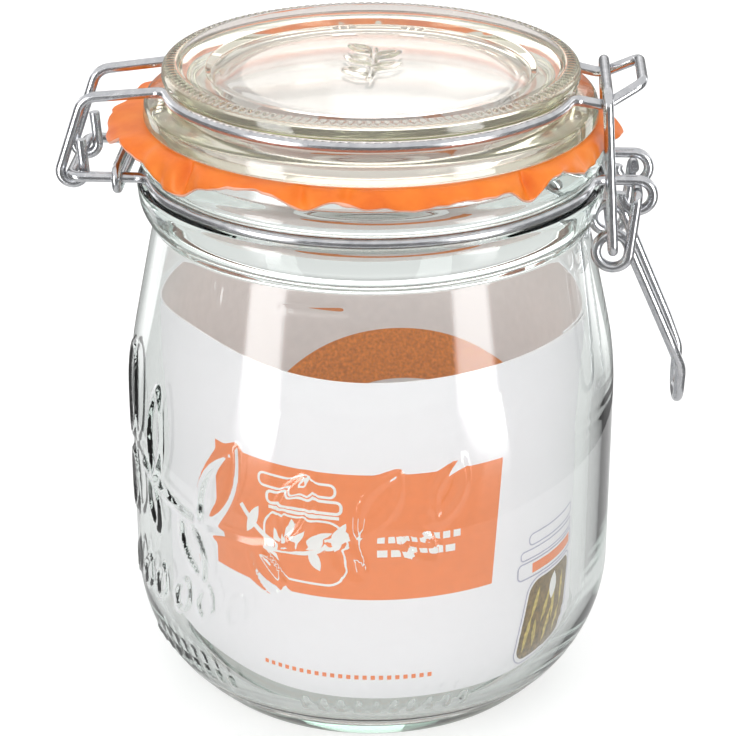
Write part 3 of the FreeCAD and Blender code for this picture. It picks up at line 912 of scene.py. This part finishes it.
def build_print():
    """Generic print: a panel with a plain jar, leaves and dashes, a rule, an oval, a picture."""
    printed("print_panel", [panel(-134.5, -52.0, 40.0, 70.2, 60, -2.6)], ORANGE_INK, FIRST_INK)
    jar = [ribbon(rounded_box(-116.0, -93.5, 43.0, 58.5, 4.2), 0.55, True),
           ribbon([(t, 59.6) for t in np.linspace(-114.5, -95.0, 12)], 0.8),
           ribbon(rounded_box(-115.0, -94.5, 60.6, 63.4, 1.1, 4), 0.7, True),
           ribbon(rounded_box(-117.5, -96.0, 64.4, 67.4, 1.3, 4), 0.6, True),
           ribbon([(-90.0, z) for z in np.linspace(47.0, 60.0, 4)], 0.3),
           ribbon([(-124.0 + 0.6 * t, 50.0 + 0.04 * (t - 28.0) ** 2 / 4.0)
                   for t in np.linspace(0.0, 52.0, 20)], 1.3)]
    for x, lean, length in ((-122.0, 60.0, 8.5), (-116.0, -52.0, 6.5), (-112.0, 42.0, 8.0),
                            (-107.0, 96.0, 6.5), (-104.0, 30.0, 8.5), (-103.0, -60.0, 6.0),
                            (-97.0, 62.0, 8.0)):
        jar.append(leaf_blob((x, 51.5), lean, length, 2.9))
    jar += dashes(-85.5, -64.0, 54.8, 1.9, 0.9, 1.7) + dashes(-85.5, -64.0, 51.4, 2.6, 0.9, 1.7)
    printed("print_white", jar, WHITE_INK, LAST_INK)
    printed("print_rule", dashes(-116.5, -71.0, 20.4, 1.1, 1.0, 1.0), ORANGE_INK, FIRST_INK)
    printed("print_oval", [half_ring((77.5, 38.0), (53.0, 26.0), (30.0, 12.7))],
            GRAIN_INK, FIRST_INK, inside=True)
    body = leaning(rounded_box(-43.5, -22.5, 17.0, 36.0, 3.0))
    printed("picture_jar", [blob((-33.0, 26.5), body)], BROWN_INK, FIRST_INK)
    glints = []
    for x, low, lean, tall in ((-41.5, 18.5, 84.0, 9.0), (-40.5, 26.5, 80.0, 7.5),
                               (-37.5, 19.0, 98.0, 7.0), (-35.5, 24.0, 78.0, 8.0),
                               (-33.0, 18.5, 80.0, 8.5), (-30.0, 23.0, 100.0, 9.5),
                               (-27.5, 18.5, 82.0, 7.0), (-26.0, 25.0, 96.0, 8.5)):
        points, faces = leaf_blob((x, low), lean, tall, 1.5)
        glints.append((leaning(points), faces))
    printed("picture_fill", glints, YELLOW_INK, SECOND_INK)
    printed("picture_gleam", [leaf_blob((-31.5, 28.5), 76.0, 6.8, 3.6)], WHITE_INK, LAST_INK)
    printed("picture_band", [panel(-40.5, -19.5, 38.4, 40.8, 20)], ORANGE_INK, FIRST_INK)
    lines = [ribbon(leaning(rounded_box(-44.5, -21.5, 16.2, 36.8, 3.4)), 0.3, True),
             ribbon(rounded_box(-46.0, -18.0, 37.6, 41.6, 1.2, 4), 0.35, True),
             ribbon(rounded_box(-45.0, -18.5, 42.4, 44.6, 0.9, 4), 0.3, True),
             ribbon(rounded_box(-42.0, -18.5, 45.6, 48.4, 1.2, 4), 0.3, True)]
    printed("picture_lines", lines, LILAC_INK, LINE_INK)


build_card()
build_print()

# ================================================================ materials on CAD nodes
for node in ("belt_wire", "tie_ring", "lid_wire", "lever", "link"):
    nodes[node].data.materials[0] = WIRE


# ================================================================ stage
WORLD_LIGHT = 0.82
LAMP_AIM = (0.0, 0.0, 0.08)
FLOOR_GREY = 0.60
FLOOR_GLOW = 0.48
GLOW_THROUGH_GLASS = 0.25                   # share of the glow off gloss and through glass


def floor_material():
    """Pale matt floor, shown as a white backdrop that keeps the jar's shadow."""
    m = material_nodes("floor_looks")
    path = m.add("LightPath").outputs
    through = m.math("MAXIMUM", path["Is Glossy Ray"], path["Is Transmission Ray"])
    dimmed = m.math("MULTIPLY", through, GLOW_THROUGH_GLASS)
    share = m.math("MAXIMUM", path["Is Camera Ray"], dimmed)
    matt = m.add("BsdfDiffuse", {"Color": grey(FLOOR_GREY)})
    glow = m.add("Emission", {"Color": grey(1.0),
                              "Strength": m.math("MULTIPLY", share, FLOOR_GLOW)})
    m.owner.cycles.emission_sampling = "NONE"
    both = m.add("AddShader", {0: matt.outputs[0], 1: glow.outputs[0]})
    return m.finish(both.outputs[0])


def build_stage():
    """The pale floor that the jar stands on."""
    bpy.ops.mesh.primitive_plane_add(size=8.0, location=(0, 0, cad_low[2]))
    floor = bpy.context.object
    floor.name = "floor"
    floor.data.materials.append(floor_material())


def only_reflected(name, place, faces, material):
    """Studio screen that gloss shows, and that neither lights nor hides the jar."""
    obj = plain_object(name, place, faces, material)
    obj.visible_camera = False
    obj.visible_diffuse = False
    obj.visible_transmission = False
    obj.visible_volume_scatter = False
    obj.visible_shadow = False
    return obj


def screen_material(name, level, fade=None):
    """Even glow; fade gives the soft share of the sides, the near end and the far end."""
    m = material_nodes(name)
    glow = m.add("Emission", {"Color": grey(1.0), "Strength": level})
    m.owner.cycles.emission_sampling = "NONE"
    if fade is None:
        return m.finish(glow.outputs[0])
    split = m.add("SeparateXYZ", {0: m.add("TexCoord").outputs["UV"]}).outputs
    middle = m.math("ABSOLUTE", m.math("SUBTRACT", split["X"], 0.5))
    runs = ((m.math("SUBTRACT", 0.5, middle), fade[0]), (split["Y"], fade[1]),
            (m.math("SUBTRACT", 1.0, split["Y"]), fade[2]))
    share = 1.0
    for run, width in runs:
        if width:
            soft = m.add("MapRange", {"Value": run, "From Max": width},
                         interpolation_type="SMOOTHSTEP")
            share = m.math("MULTIPLY", soft.outputs[0], share)
    gone = m.add("BsdfTransparent")
    mix = m.add("MixShader", {0: share, 1: gone.outputs[0], 2: glow.outputs[0]})
    return m.finish(mix.outputs[0])


def screen(name, corners, material):
    """Four-cornered screen, counted round from the lower left."""
    obj = only_reflected(name, corners, [(0, 1, 2, 3)], material)
    layer = obj.data.uv_layers.new(name="UVMap")
    for loop, uv in zip(layer.data, ((0, 0), (1, 0), (1, 1), (0, 1))):
        loop.uv = uv


def round_screen(name, turn, near, far, material):
    """Screen across an angle, from one (radius, height) to another."""
    left, right = turn - WINDOW_HALF, turn + WINDOW_HALF
    screen(name, [wrapped(left, *near), wrapped(right, *near),
                  wrapped(right, *far), wrapped(left, *far)], material)


SURROUND = ((0.16, 0.001), (1.6, 0.001), (1.6, 0.46))   # (radius, height) of its rings
SURROUND_COLUMNS = 48
WINDOW_TURNS = (-138.0, -38.0, 42.0, 138.0)
WINDOW_HALF = 11.5                          # degrees
WINDOW_FOOT, WINDOW_HEAD = (0.9, 0.001), (0.9, 0.42)
STRIP_NEAR, STRIP_FAR = (0.14, 0.004), (0.905, 0.004)
BACK_LEFT, BACK_RIGHT, BACK_LOW, BACK_HIGH = -0.085, 0.078, 0.452, 0.80


def build_screens():
    """Dark surround with windows, for contrast in the reflections of glass and wire."""
    turns = np.linspace(0.0, 360.0, SURROUND_COLUMNS, endpoint=False)
    place = np.concatenate([wrapped(turns, r, z) for r, z in SURROUND])
    only_reflected("surround", place, grid_faces(len(SURROUND), SURROUND_COLUMNS, True),
                   screen_material("surround_looks", 0.26))
    front = (screen_material("window_looks", 10.0, (0.20, 0.0, 0.10)),
             screen_material("window_floor_looks", 9.0, (0.20, 0.30, 0.0)))
    rear = (screen_material("rear_window_looks", 2.5, (0.25, 0.0, 0.10)),
            screen_material("rear_floor_looks", 2.2, (0.25, 0.30, 0.0)))
    for turn in WINDOW_TURNS:
        window, strip = front if turn < 0.0 else rear
        round_screen("window_%d" % turn, turn, WINDOW_FOOT, WINDOW_HEAD, window)
        round_screen("strip_%d" % turn, turn, STRIP_NEAR, STRIP_FAR, strip)
    screen("back_panel", [(BACK_LEFT, 1.0, BACK_LOW), (BACK_RIGHT, 1.0, BACK_LOW),
                          (BACK_RIGHT, 1.0, BACK_HIGH), (BACK_LEFT, 1.0, BACK_HIGH)],
           screen_material("back_panel_looks", 1.6, (0.08, 0.04, 0.04)))


def area_light(name, place, size, power):
    """Lamp aimed at the jar's middle, and hidden from gloss."""
    data = bpy.data.lights.new(name, "AREA")
    data.shape = "RECTANGLE"
    data.size, data.size_y = size
    data.energy = power
    lamp = bpy.data.objects.new(name, data)
    lamp.location = place
    way = Vector(LAMP_AIM) - Vector(place)
    lamp.rotation_euler = way.to_track_quat("-Z", "Y").to_euler()
    lamp.visible_glossy = False
    scene.collection.objects.link(lamp)


def build_light():
    """Plain world light under soft lamps, before a backdrop that is seen as white."""
    m = Nodes(bpy.data.worlds.new("studio"), "OutputWorld")
    path = m.add("LightPath").outputs
    either = m.math("MAXIMUM", path["Is Camera Ray"], path["Is Glossy Ray"])
    seen = m.math("MAXIMUM", either, path["Is Transmission Ray"])
    plain = m.add("Background", {0: grey(1.0), 1: WORLD_LIGHT})
    white = m.add("Background", {0: grey(1.0), 1: 1.0})
    mix = m.add("MixShader", {0: seen, 1: plain.outputs[0], 2: white.outputs[0]})
    scene.world = m.finish(mix.outputs[0])
    area_light("strip_left", (-0.75, -0.75, 0.62), (0.35, 0.80), 2.9)
    area_light("strip_right", (0.65, -0.85, 0.62), (0.35, 0.80), 2.9)
    area_light("strip_back", (0.10, 1.05, 0.62), (0.60, 0.60), 2.6)
    area_light("top", (0.0, 0.15, 1.1), (0.9, 0.9), 2.2)


build_stage()
build_screens()
build_light()

scene.view_settings.view_transform = "Standard"
BOUNCES = 24                                # enough for light to cross lid, jar and card
scene.cycles.max_bounces = BOUNCES
scene.cycles.transmission_bounces = BOUNCES
scene.cycles.transparent_max_bounces = BOUNCES
scene.cycles.glossy_bounces = 8
